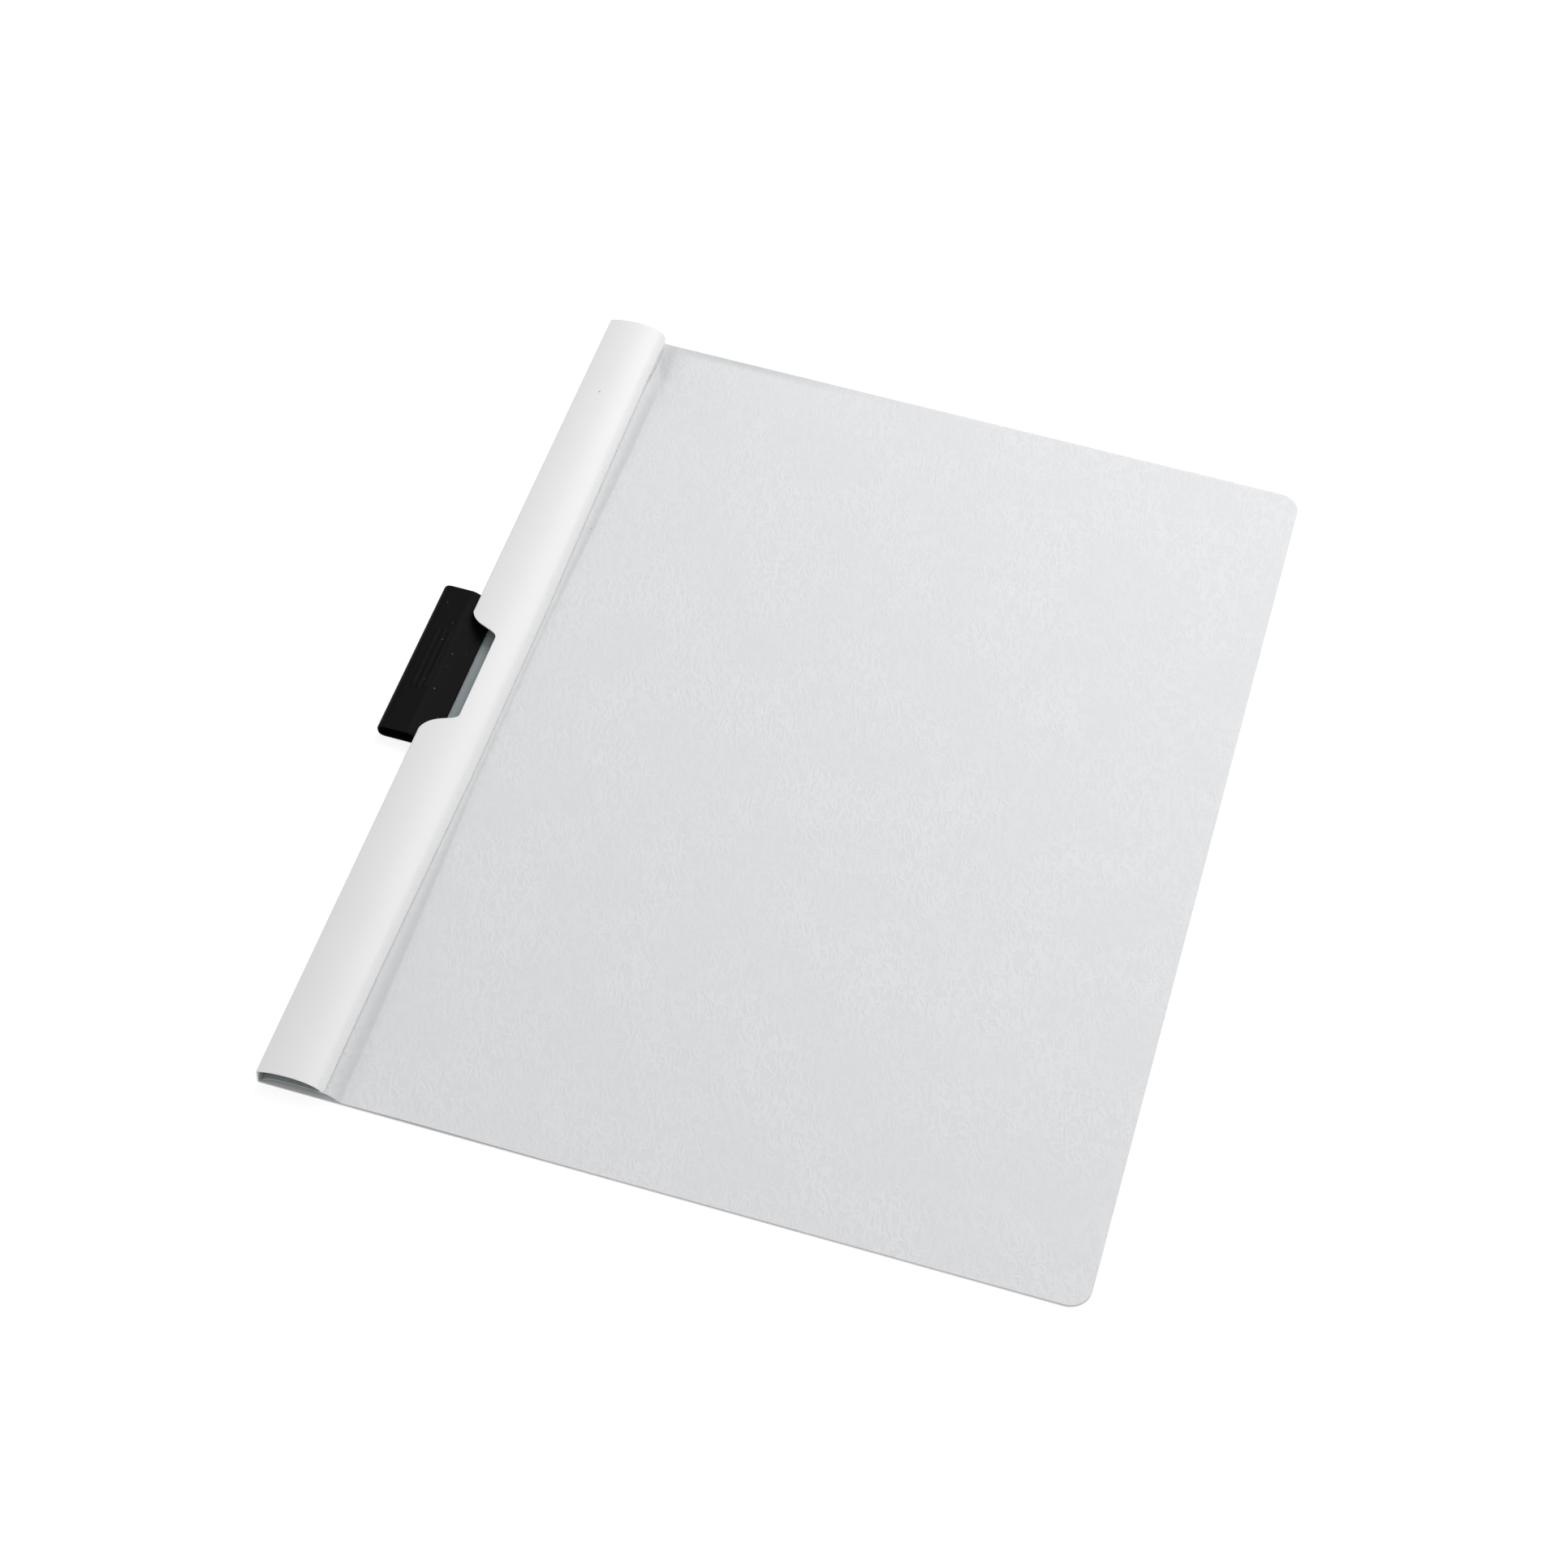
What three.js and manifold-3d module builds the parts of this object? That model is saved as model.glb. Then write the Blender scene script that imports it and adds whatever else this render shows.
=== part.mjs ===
// A4 clip folder: a white back cover whose spine side is folded up and over into a binding strip,
// a grained translucent front cover welded under that strip, and a black sprung steel clip that
// slides in and out of a slot in the spine. It lies closed on its back, with the clip pulled out.
// Millimetres. +X runs from the spine to the fore edge, +Y from the foot to the head, +Z up.
// The origin is the centre of the back cover's underside.

import * as THREE from "three";
import { mergeVertices } from "three/addons/utils/BufferGeometryUtils.js";
import Module from "manifold-3d";

const wasm = await Module();
wasm.setup();

// ---- Driving dimensions
const coverLength = 310; // foot to head
const coverWidth = 230; // spine to fore edge
const coverCorner = 6.5; // radius of the two fore corners
const backFilm = 0.4; // thickness of the white film
const frontFilm = 0.3; // thickness of the grained film
const frontInset = 0.2; // the front film stops this far inside the back cover

const spineHeight = 5.6; // outside height of the folded spine
const foldRadius = 0.8; // outside radius of the spine's two folds
const stripSpanEnds = 19; // reach of the binding strip over the covers, at foot and head
const stripSpanClip = 19.7; // and beside the clip, which flattens the strip
const edgeHeightEnds = 3.8; // top of the strip's free edge at foot and head
const edgeHeightClip = 1.9; // and beside the clip
const stripCrownEnds = [2, 1.7]; // how far the arch's two handles stand over the spine, at the ends
const stripCrownClip = [1, 0.4]; // and beside the clip
const stripCornerHead = 2; // radius of the strip's free corner at the head
const stripCornerFoot = 0.5; // and at the foot

const marginGap = 0.9; // from the spine's outer face to the margin's inner edge
const marginRiseEnds = 3.4; // height of the margin's middle at foot and head
const marginHookEnds = 3.9; // height of the handle that hooks its inner edge down there

const slotPosition = 151; // centre of the slot and the thumb notch, from the foot
const slotLength = 66; // of the slot in the spine that the clip passes through
const clipLength = 58.6; // along the spine
const clipShift = 2.8; // the clip lies this far from the slot's middle, towards the head
const clipSteel = 0.45; // thickness of the spring steel
const clipHeight = 4.55; // outside height of the folded clip
const clipJaw = 17.6; // from the clip's back to its lips
const clipTaper = 7.8; // length of the jaw that slopes down to the lips
const clipMouth = 0.5; // gap between the lips
const clipCorner = 1.2; // radius of the two corners at the clip's back
const clipPulledOut = 12; // from the spine's outer face to the clip's back

const notchDepth = 9.9; // of the thumb notch in the strip
const notchMouth = 53; // length of the notch along the spine's edge
const notchFloor = 31.6; // length of its straight inner edge
const notchShoulder = 8.5; // handle of the S curve at each shoulder
const notchCorner = 3.7; // and of the same curve at the inner edge

const restGap = 0.3; // air between the two covers
const weldGap = 0.05; // air between the strip and the margin welded under it
const slideGap = 0.1; // air between the clip and the back cover
const hingeGap = 0.5; // air between the margin and the front cover

// ---- Sizes that follow from them
const backTop = backFilm; // upper face of the back cover
const frontRest = backTop + restGap + frontFilm / 2; // middle of the closed front cover
const clipPosition = slotPosition + clipShift;
const clipZone = slotLength / 2; // the strip keeps one section over this half length
const jawFloor = backTop + slideGap; // underside of the lower jaw
const lipLevel = jawFloor + clipSteel + clipMouth / 2; // middle of the gap between the lips

// ---- Curves that change along the spine

// 0 beside the clip, 1 at foot and head, following a quarter of a sine between them.
function endShare(y) {
  const away = Math.abs(y - slotPosition) - clipZone;
  const room = (y < slotPosition ? slotPosition : coverLength - slotPosition) - clipZone;
  return Math.sin((Math.min(1, Math.max(0, away / room)) * Math.PI) / 2);
}

const between = (clipValue, endValue, y) => THREE.MathUtils.lerp(clipValue, endValue, endShare(y));

const stripSpan = (y) => between(stripSpanClip, stripSpanEnds, y);
const edgeMiddle = (y) => between(edgeHeightClip, edgeHeightEnds, y) - backFilm / 2;
const marginEdge = (y) => edgeMiddle(y) - backFilm / 2 - weldGap - frontFilm / 2;

const flat = (curve, steps) => curve.getPoints(steps);

// Quarter turn of a fold about (cx, cz), from one angle to another in degrees.
function foldArc(cx, cz, radius, from, to, steps = 4) {
  const turn = THREE.MathUtils.degToRad;
  return flat(new THREE.EllipseCurve(cx, cz, radius, radius, turn(from), turn(to), to < from), steps);
}

// Middle line of the back film at y: fore edge, floor, spine wall, then the arched strip.
function backLine(y) {
  const half = backFilm / 2;
  const bend = foldRadius - half;
  const top = spineHeight - half;
  const lift = [0, 1].map((i) => between(stripCrownClip[i], stripCrownEnds[i], y));
  const span = stripSpan(y);
  const strip = new THREE.CubicBezierCurve(
    new THREE.Vector2(foldRadius, top),
    new THREE.Vector2(span * 0.36, top + lift[0]),
    new THREE.Vector2(span * 0.85, top + lift[1]),
    new THREE.Vector2(span, edgeMiddle(y)),
  );
  return [
    new THREE.Vector2(coverWidth, half),
    ...foldArc(foldRadius, foldRadius, bend, 270, 180),
    ...foldArc(foldRadius, spineHeight - foldRadius, bend, 180, 90),
    ...flat(strip, 14).slice(1),
  ];
}

// Middle line of the margin at y: from the spine, over the lower jaw, to the weld at the strip's edge.
function marginLine(y) {
  const span = stripSpan(y);
  const low = between(lipLevel, backTop + frontFilm, y);
  const level = between(lipLevel, marginRiseEnds, y);
  const inner = between(lipLevel, marginHookEnds, y);
  const hood = new THREE.CubicBezierCurve(
    new THREE.Vector2(marginGap, low),
    new THREE.Vector2(span * 0.16, inner),
    new THREE.Vector2(span * 0.45, level),
    new THREE.Vector2(span * 0.88, level),
  );
  return [...flat(hood, 10), new THREE.Vector2(span - weldGap * 2, marginEdge(y))];
}

// Middle line of the front cover at y: down a soft slope from the strip's edge, then flat.
function frontLine(y) {
  const start = stripSpan(y) - weldGap * 2 + hingeGap;
  const top = Math.max(frontRest, marginEdge(y));
  const run = 1.2 + 1.9 * (top - frontRest);
  const slope = new THREE.CubicBezierCurve(
    new THREE.Vector2(start, top),
    new THREE.Vector2(start + run * 0.4, top - (top - frontRest) * 0.55),
    new THREE.Vector2(start + run * 0.55, frontRest),
    new THREE.Vector2(start + run, frontRest),
  );
  return [...flat(slope, 8), new THREE.Vector2(coverWidth - frontInset, frontRest)];
}

// ---- Making solids

// Closed section of a film: its middle line moved half the thickness to each side.
function filmSection(line, thickness) {
  const sides = [[], []];
  line.forEach((p, i) => {
    const along = line[Math.min(i + 1, line.length - 1)].clone().sub(line[Math.max(i - 1, 0)]).normalize();
    const across = new THREE.Vector2(-along.y, along.x).multiplyScalar(thickness / 2);
    sides[0].push(p.clone().add(across));
    sides[1].push(p.clone().sub(across));
  });
  return [...sides[1], ...sides[0].reverse()];
}

// Film whose section changes along y, lofted through the stations and closed at both ends.
function loftFilm(lineAt, thickness, stations) {
  const sections = stations.map((y) => filmSection(lineAt(y), thickness));
  const count = sections[0].length;
  const positions = [];
  const faces = [];
  sections.forEach((section, j) => section.forEach((p) => positions.push(p.x, stations[j], p.y)));
  for (let j = 0; j + 1 < stations.length; j++) {
    for (let i = 0; i < count; i++) {
      const a = j * count + i;
      const b = j * count + ((i + 1) % count);
      faces.push(a, a + count, b, b, a + count, b + count);
    }
  }
  const last = (stations.length - 1) * count;
  const capOf = (section) => THREE.ShapeUtils.triangulateShape(section, []);
  capOf(sections[0]).forEach(([a, b, c]) => faces.push(a, b, c));
  capOf(sections.at(-1)).forEach(([a, b, c]) => faces.push(last + a, last + c, last + b));
  const geometry = new THREE.BufferGeometry();
  geometry.setAttribute("position", new THREE.Float32BufferAttribute(positions, 3));
  geometry.setIndex(faces);
  return geometry;
}

function solidFrom(geometry) {
  const bare = geometry.clone();
  ["normal", "uv"].forEach((name) => bare.deleteAttribute(name));
  const merged = mergeVertices(bare, 1e-4);
  const triVerts = new Uint32Array(merged.index.array);
  const made = new wasm.Manifold(
    new wasm.Mesh({ numProp: 3, vertProperties: merged.attributes.position.array, triVerts }),
  );
  if (made.volume() > 0) return made;
  for (let i = 0; i < triVerts.length; i += 3) {
    [triVerts[i + 1], triVerts[i + 2]] = [triVerts[i + 2], triVerts[i + 1]];
  }
  return new wasm.Manifold(
    new wasm.Mesh({ numProp: 3, vertProperties: merged.attributes.position.array, triVerts }),
  );
}

function geometryFrom(solid) {
  const mesh = solid.getMesh();
  const geometry = new THREE.BufferGeometry();
  geometry.setAttribute("position", new THREE.Float32BufferAttribute(mesh.vertProperties, 3));
  geometry.setIndex(Array.from(mesh.triVerts));
  geometry.computeVertexNormals();
  return geometry;
}

// Upright prism of a plan outline, from one height to another.
function upright(outline, from, to, curveSegments = 6) {
  const prism = new THREE.ExtrudeGeometry(outline, { depth: to - from, bevelEnabled: false, curveSegments });
  return solidFrom(prism.translate(0, 0, from));
}

// Plan of a cover: square at the spine, round at the two fore corners.
function coverPlan(left, right, foot, head, radius) {
  const plan = new THREE.Shape();
  plan.moveTo(left, foot);
  plan.lineTo(right - radius, foot);
  plan.absarc(right - radius, foot + radius, radius, -Math.PI / 2, 0);
  plan.lineTo(right, head - radius);
  plan.absarc(right - radius, head - radius, radius, 0, Math.PI / 2);
  plan.lineTo(left, head);
  return plan;
}

// What a rounded corner takes off the strip. side is 1 at the head and -1 at the foot.
function cornerCutter(x, y, radius, side) {
  const spare = 1;
  const plan = new THREE.Shape();
  plan.moveTo(x, y - side * radius);
  plan.absarc(x - radius, y - side * radius, radius, 0, (side * Math.PI) / 2, side < 0);
  plan.lineTo(x - radius, y + side * spare);
  plan.lineTo(x + spare, y + side * spare);
  plan.lineTo(x + spare, y - side * radius);
  const low = edgeHeightEnds - backFilm * 2;
  return upright(plan, low, spineHeight + radius + spare);
}

// Plan of the thumb notch: an S-shaped shoulder at each end of a straight inner edge.
function notchPlan() {
  const spare = 3;
  const at = (half) => [slotPosition - half, slotPosition + half];
  const [mouthFoot, mouthHead] = at(notchMouth / 2);
  const [floorFoot, floorHead] = at(notchFloor / 2);
  const [outFoot, outHead] = at(notchMouth / 2 - notchShoulder);
  const [inFoot, inHead] = at(notchFloor / 2 + notchCorner);
  const plan = new THREE.Shape();
  plan.moveTo(-spare, mouthFoot);
  plan.lineTo(0, mouthFoot);
  plan.bezierCurveTo(0, outFoot, notchDepth, inFoot, notchDepth, floorFoot);
  plan.lineTo(notchDepth, floorHead);
  plan.bezierCurveTo(notchDepth, inHead, 0, outHead, 0, mouthHead);
  plan.lineTo(-spare, mouthHead);
  return plan;
}

// ---- Materials
const whiteFilm = new THREE.MeshStandardMaterial({ color: 0xf2f3f4, roughness: 0.55, metalness: 0 });
const grainedFilm = new THREE.MeshStandardMaterial({ color: 0xdfe1e3, roughness: 0.6, metalness: 0 });
const blackSteel = new THREE.MeshStandardMaterial({ color: 0x0d0b0c, roughness: 0.3, metalness: 0.2 });

// ---- Pieces

// Stations from foot to head: close along the two arched ends, and only at the clip zone's borders.
function stationsFrom(foot, head, steps = 12) {
  const ends = [slotPosition - clipZone, slotPosition + clipZone];
  const run = (a, b) => Array.from({ length: steps + 1 }, (_, i) => a + ((b - a) * i) / steps);
  return [...run(foot, ends[0]), ...run(ends[1], head)];
}

function backCover() {
  const folded = solidFrom(loftFilm(backLine, backFilm, stationsFrom(0, coverLength)));
  const plan = coverPlan(-foldRadius, coverWidth, 0, coverLength, coverCorner);
  const highest = spineHeight + coverCorner;
  const slot = new THREE.Shape();
  slot.moveTo(-foldRadius, slotPosition - slotLength / 2);
  slot.lineTo(foldRadius, slotPosition - slotLength / 2);
  slot.lineTo(foldRadius, slotPosition + slotLength / 2);
  slot.lineTo(-foldRadius, slotPosition + slotLength / 2);
  return folded
    .intersect(upright(plan, -foldRadius, highest))
    .subtract(upright(slot, backTop, jawFloor + clipHeight + slideGap))
    .subtract(upright(notchPlan(), jawFloor + clipHeight / 2, highest, 8))
    .subtract(cornerCutter(stripSpanEnds, coverLength, stripCornerHead, 1))
    .subtract(cornerCutter(stripSpanEnds, 0, stripCornerFoot, -1));
}

function frontCover() {
  const [foot, head] = [frontInset, coverLength - frontInset];
  const sheet = solidFrom(loftFilm(frontLine, frontFilm, stationsFrom(foot, head)));
  const plan = coverPlan(0, coverWidth - frontInset, foot, head, coverCorner - frontInset);
  return sheet.intersect(upright(plan, 0, spineHeight));
}

function frontCoverMargin() {
  return solidFrom(loftFilm(marginLine, frontFilm, stationsFrom(frontInset, coverLength - frontInset)));
}

// Section of the folded clip, from the back at x 0: two jaws, the upper one sloping to the lips.
function clipSection() {
  const radius = clipHeight / 2;
  const inner = radius - clipSteel;
  const slopeStart = clipJaw - clipTaper;
  const lipTop = clipSteel + clipMouth + clipSteel;
  const curl = 0.8; // the last of the upper jaw turns level again
  const section = new THREE.Shape();
  section.moveTo(clipJaw, 0);
  section.lineTo(clipJaw, clipSteel);
  section.lineTo(radius, clipSteel);
  section.absarc(radius, radius, inner, -Math.PI / 2, Math.PI / 2, true);
  section.lineTo(slopeStart, clipHeight - clipSteel);
  section.lineTo(clipJaw - curl, lipTop - clipSteel);
  section.lineTo(clipJaw, lipTop - clipSteel);
  section.lineTo(clipJaw, lipTop);
  section.lineTo(clipJaw - curl, lipTop);
  section.lineTo(slopeStart, clipHeight);
  section.lineTo(radius, clipHeight);
  section.absarc(radius, radius, radius, Math.PI / 2, (3 * Math.PI) / 2, false);
  return section;
}

function clip() {
  const folded = new THREE.ExtrudeGeometry(clipSection(), {
    depth: clipLength,
    bevelEnabled: false,
    curveSegments: 12,
  });
  folded.rotateX(Math.PI / 2).translate(0, clipLength, 0);
  const plan = coverPlan(-clipJaw, 0, 0, clipLength, clipCorner);
  const turned = upright(plan, 0, clipHeight).mirror([1, 0, 0]);
  return solidFrom(folded).intersect(turned);
}

// ---- The folder
function piece(name, solid, material, [x, y, z] = [0, 0, 0]) {
  const mesh = new THREE.Mesh(geometryFrom(solid), material);
  mesh.name = name;
  mesh.position.set(x, y, z);
  return mesh;
}

const folded = new THREE.Group();
folded.position.set(-coverWidth / 2, -coverLength / 2, 0);
folded.add(
  piece("back_cover", backCover(), whiteFilm),
  piece("front_cover_margin", frontCoverMargin(), grainedFilm),
  piece("front_cover", frontCover(), grainedFilm),
  piece("clip", clip(), blackSteel, [-clipPulledOut, clipPosition - clipLength / 2, jawFloor]),
);

const folder = new THREE.Group();
folder.add(folded);
export default folder;
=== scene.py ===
"""Dress of an A4 clip folder: fine curved films, a pressed spring clip, and their finishes.

The folder lies closed on its back cover. x runs from the spine to the fore edge, y from foot to
head along the spine, z up. Working values are in millimetres from the spine's outer face, the
foot and the table; to_frame() turns them into the frame's metres.
"""

import math

import bmesh
import bpy
import numpy as np
from bpy.props import FloatProperty, FloatVectorProperty, IntProperty, PointerProperty
from mathutils import Matrix, Vector


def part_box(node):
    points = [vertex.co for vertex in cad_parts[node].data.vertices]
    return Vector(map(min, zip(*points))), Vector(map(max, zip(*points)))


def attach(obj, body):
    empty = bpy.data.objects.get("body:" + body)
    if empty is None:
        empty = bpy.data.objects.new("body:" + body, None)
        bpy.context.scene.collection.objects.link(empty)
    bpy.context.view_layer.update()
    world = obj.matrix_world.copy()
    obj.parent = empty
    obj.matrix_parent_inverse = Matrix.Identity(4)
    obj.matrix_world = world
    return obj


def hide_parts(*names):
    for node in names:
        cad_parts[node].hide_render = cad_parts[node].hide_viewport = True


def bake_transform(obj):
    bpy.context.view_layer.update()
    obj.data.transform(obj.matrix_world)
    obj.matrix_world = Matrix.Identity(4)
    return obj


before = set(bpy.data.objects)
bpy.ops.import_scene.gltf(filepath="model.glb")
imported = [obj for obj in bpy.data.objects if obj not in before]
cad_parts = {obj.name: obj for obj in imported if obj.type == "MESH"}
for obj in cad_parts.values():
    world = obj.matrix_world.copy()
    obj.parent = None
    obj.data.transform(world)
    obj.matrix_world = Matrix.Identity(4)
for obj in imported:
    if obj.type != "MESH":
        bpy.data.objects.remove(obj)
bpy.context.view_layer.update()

bl_info = {
    "name": "Clip Folder",
    "version": (1, 0, 0),
    "blender": (4, 5, 0),
    "location": "3D View > Sidebar > Clip Folder",
    "description": "Builds the films, the spring clip and the stage of an A4 clip folder",
    "category": "Add Mesh",
}

MM = 0.001
BACK_LOW, BACK_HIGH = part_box("back_cover")
CLIP_LOW, CLIP_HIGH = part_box("clip")
FRONT_LOW, FRONT_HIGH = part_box("front_cover")
WIDTH = (BACK_HIGH.x - BACK_LOW.x) / MM
LENGTH = (BACK_HIGH.y - BACK_LOW.y) / MM
CLIP_FOOT = (CLIP_LOW.y - BACK_LOW.y) / MM
CLIP_HEAD = (CLIP_HIGH.y - BACK_LOW.y) / MM
CLIP_BACK = (CLIP_LOW.x - BACK_LOW.x) / MM
CLIP_LIP = (CLIP_HIGH.x - BACK_LOW.x) / MM
CLIP_UNDER, CLIP_TOP = CLIP_LOW.z / MM, CLIP_HIGH.z / MM
FRONT_EDGE = (FRONT_HIGH.x - BACK_LOW.x) / MM
FRONT_INSET = (FRONT_LOW.y - BACK_LOW.y) / MM

# Measures in millimetres that more than one piece uses
STEEL, MOUTH = 0.45, 0.5  # the clip's thickness, and the gap between its lips
EDGE_MARGIN = 0.3  # how far beyond the strip's edge the grained film starts to slope down
FILM_GAP = 0.04  # between the two films where the cover lies flat
WELD_GAP = 0.05  # between the strip and the grained film under it
WELD_RAMP = 0.3  # over which the weld's pressed band begins
SLOT_PLAY = 0.1  # between the clip's top and the slot's upper edge

# Dark specks: x, y, z and radius, in millimetres
WHITE_SPECKS = ((7.3, 275.8, 6.3, 0.42), (8.3, 25.1, 6.3, 0.36))
GRAINED_SPECKS = ((21.6, 222.8, 0.95, 0.45),)

# The camera's turn about the point it looks at, in degrees, and that point, in millimetres
AZIMUTH, ELEVATION, ROLL = 11.76, 50.70, 5.45
TARGET = (106.18, 145.23, 0.0)

# Soft lights: name, place, aim, size in metres and power in watts
LIGHTS = (
    ("Key", (0.25, 0.95, 1.0), (0.0, 0.05, 0.0), 0.9, 11.5),
    ("Side", (1.15, 0.15, 0.5), (-0.1, 0.0, 0.0), 0.7, 2.2),
    ("Fill", (-0.8, -0.6, 1.6), (0.0, 0.0, 0.0), 1.2, 1.5),
)


def length(name, description, millimetres):
    """A size property in metres, its default given in millimetres."""
    return FloatProperty(
        name=name,
        description=description,
        default=millimetres * MM,
        min=0.0,
        subtype="DISTANCE",
        unit="LENGTH",
    )


def colour(name, description, *default):
    """A colour property, its default in linear light."""
    return FloatVectorProperty(
        name=name,
        description=description,
        default=default,
        min=0.0,
        max=1.0,
        size=3,
        subtype="COLOR",
    )


def strength(name, description, default):
    """A plain number of 0 or more."""
    return FloatProperty(name=name, description=description, default=default, min=0.0)


class FolderCoverSizes(bpy.types.PropertyGroup):
    """Sizes and colours of the two films."""

    back_film: length("White film", "Thickness of the white film", 0.4)
    front_film: length("Grained film", "Thickness of the grained film", 0.3)
    corner: length("Corner radius", "Radius of the back cover's two fore corners", 6.5)
    fold: length("Fold radius", "Outside radius of the spine's two folds", 0.8)
    spine: length("Spine height", "Outside height of the folded spine", 5.6)
    span_ends: length("Strip at the ends", "Reach of the binding strip at foot and head", 19.0)
    span_clip: length("Strip at the clip", "Reach of the binding strip beside the clip", 19.7)
    edge_ends: length("Edge at the ends", "Top of the strip's free edge at foot and head", 3.8)
    edge_clip: length("Edge at the clip", "Top of the strip's free edge beside the clip", 1.9)
    slot_middle: length("Slot place", "Middle of the slot and the notch, from the foot", 151.0)
    slot_length: length("Slot length", "Length of the slot in the spine", 66.0)
    notch_depth: length("Notch depth", "Depth of the thumb notch in the strip", 9.9)
    notch_mouth: length("Notch mouth", "Length of the notch along the spine", 53.0)
    notch_floor: length("Notch floor", "Length of the notch's straight inner edge", 31.6)
    seam_width: length("Weld width", "Width of the knurled weld at the strip's free edge", 1.9)
    seam_pitch: length("Weld pitch", "Distance between the weld's knurled dots", 0.85)
    grain: length("Grain size", "Distance between the ridges of the front film's grain", 0.95)
    grain_depth: length("Grain depth", "Depth of the front film's grain", 0.07)
    white: colour("White film colour", "Colour of the smooth white film", 0.69, 0.69, 0.693)
    frosted: colour("Grained film colour", "Colour of the grained film", 0.805, 0.81, 0.825)
    speck: colour("Speck colour", "Colour of the few dark specks on the films", 0.12, 0.11, 0.10)


class FolderClipSizes(bpy.types.PropertyGroup):
    """Sizes and colour of the spring clip."""

    steel: length("Steel", "Thickness of the spring steel", STEEL)
    mouth: length("Mouth", "Gap between the clip's lips", MOUTH)
    taper: length("Taper", "Length of the jaw that slopes down to the lips", 7.8)
    corner: length("Corner radius", "Radius of the two corners at the clip's back", 1.2)
    rib_length: length("Rib length", "Length of the pressed grip ribs", 24.0)
    rib_pitch: length("Rib pitch", "Distance between the grip ribs", 1.9)
    rib_height: length("Rib height", "Height of the grip ribs", 0.22)
    ribs: IntProperty(
        name="Ribs", description="How many grip ribs are pressed in the clip", default=3, min=0
    )
    black: colour("Clip colour", "Colour of the black coated steel", 0.0028, 0.0022, 0.0024)


class FolderStageSizes(bpy.types.PropertyGroup):
    """Floor, light and camera."""

    floor: colour("Floor colour", "Colour of the plain floor", 0.28, 0.28, 0.28)
    floor_glow: strength("Floor glow", "Light that the pale floor adds", 0.8)
    ambient: strength("Ambient", "Strength of the light from all round", 0.66)
    focal: FloatProperty(
        name="Focal length",
        description="Focal length of the camera's lens",
        default=77.16,
        min=1.0,
        unit="CAMERA",
    )
    distance: length("Camera distance", "Distance from the camera to the point it looks at", 980.75)


# ---- Curves that change along the spine, in millimetres


def smooth(x):
    """Smooth step: 0 below 0, 1 above 1, 3x^2 - 2x^3 between."""
    x = np.clip(x, 0.0, 1.0)
    return x * x * (3 - 2 * x)


def mound(x, middle, width):
    """A mound of height 1: exp(-((x - middle) / width)^2)."""
    return np.exp(-(((x - middle) / width) ** 2))


def bezier(p0, p1, p2, p3, t):
    """Cubic Bezier: (1-t)^3 p0 + 3(1-t)^2 t p1 + 3(1-t) t^2 p2 + t^3 p3."""
    u = 1 - t
    return u**3 * p0 + 3 * u * u * t * p1 + 3 * u * t * t * p2 + t**3 * p3


def end_share(y, s):
    """0 beside the clip and 1 at foot and head, a quarter of a sine between."""
    middle, half = s.slot_middle / MM, s.slot_length / MM / 2
    room = np.where(y < middle, middle, LENGTH - middle) - half
    away = np.clip((np.abs(y - middle) - half) / room, 0, 1)
    return np.sin(away * math.pi / 2)


def between(at_clip, at_ends, y, s):
    """A value that passes from at_clip to at_ends along the spine, in step with end_share."""
    return at_clip + (at_ends - at_clip) * end_share(y, s)


def strip_span(y, s):
    """x of the binding strip's free edge."""
    return between(s.span_clip / MM, s.span_ends / MM, y, s)


def edge_middle(y, s):
    """z of the middle of the white film at the strip's free edge."""
    return between(s.edge_clip / MM, s.edge_ends / MM, y, s) - s.back_film / MM / 2


def weld_level(y, s):
    """z of the middle of the grained film where it is welded under the strip's edge."""
    return edge_middle(y, s) - s.back_film / MM / 2 - WELD_GAP - s.front_film / MM / 2


def slope_run(fall):
    """Length of the grained film's slope beside the strip: 0.5 + 1.7 times its fall."""
    return 0.5 + 1.7 * fall


def corner_pull(x, edge, radius):
    """How far a rounded corner pulls a column's end in: r - sqrt(r^2 - (x - (edge - r))^2)."""
    reach = np.clip(x - (edge - radius), 0, radius)
    return radius - np.sqrt(np.maximum(radius * radius - reach * reach, 0))


def pulled(y, foot, head):
    """Rows within reach of foot and head, stretched in proportion to end at foot and head.

    Both ends are given per column.
    """
    reach = 20.0
    low = foot + (reach - foot) * y / reach
    high = LENGTH - reach + (y - (LENGTH - reach)) * (head - (LENGTH - reach)) / reach
    return np.where(y < reach, low, np.where(y > LENGTH - reach, high, y))


def spaced(places, closest):
    """The places in order as one column, without those at most closest after the one before."""
    places = np.unique(np.round(places, 3))
    return places[np.append(True, np.diff(places) > closest)][:, None]


# ---- Meshes


def to_frame(points):
    """Millimetres from spine, foot and table to the frame's metres."""
    return points * MM + np.array([BACK_LOW.x, BACK_LOW.y, 0.0])


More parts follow.
